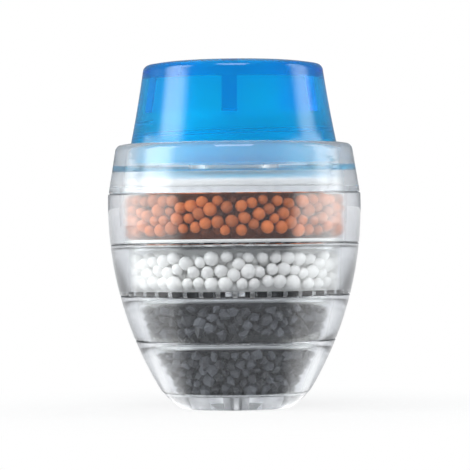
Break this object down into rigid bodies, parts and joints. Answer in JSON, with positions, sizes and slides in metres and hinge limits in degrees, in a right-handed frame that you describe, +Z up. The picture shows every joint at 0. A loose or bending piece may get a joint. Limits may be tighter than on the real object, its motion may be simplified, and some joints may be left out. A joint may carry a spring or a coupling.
{
  "type": "tap-mounted water filter",
  "caption": "Small clear tap filter: a blue screw cap clamps it to the spout, water runs down through ball and granule layers and leaves by a slotted foot.",
  "frame": {"origin": "centre of the foot's lowest face, on the axis of the body", "axes": "+Z up along the axis, from the slotted foot to the tap; -Y is the pictured face"},
  "size_m": [0.052, 0.052, 0.0711],
  "materials": {
    "cap_blue": "clear blue, polished",
    "clear_body": "clear, polished",
    "sleeve_rubber": "soft, milky",
    "ring_plastic": "natural",
    "washer_rubber": "blue silicone",
    "felt": "white felt",
    "mineral": "matte",
    "softener": "matte",
    "carbon": "rough charcoal"
  },
  "bodies": {
    "housing": {"outlet_base": "clear_body", "felt_4": "felt", "chamber_4": "clear_body", "carbon_lower": "carbon", "felt_3": "felt", "chamber_3": "clear_body", "carbon_upper": "carbon", "felt_2": "felt", "chamber_2": "clear_body", "softener_balls": "softener", "felt_1": "felt", "chamber_1": "clear_body", "mineral_balls": "mineral", "inlet_strainer": "clear_body", "sediment_pad": "felt", "neck_collar": "clear_body", "neck_washer": "washer_rubber"},
    "gripper": {"tap_sleeve": "sleeve_rubber", "slip_ring": "ring_plastic"},
    "cap": {"tap_cap": "cap_blue"}
  },
  "joints": [
    {"name": "sleeve_lift", "type": "slide", "parent": "housing", "child": "gripper", "axis": [0, 0, 1], "range_m": [0, 0.00375]},
    {"name": "cap_turn", "type": "hinge", "parent": "gripper", "child": "cap", "pos_m": [0, 0, 0.06], "axis": [0, 0, 1], "range_deg": [0, 541]}
  ],
  "couplings": [
    {"joint": "cap_turn", "follows": "sleeve_lift", "rad_per_m": 2513.3}
  ]
}
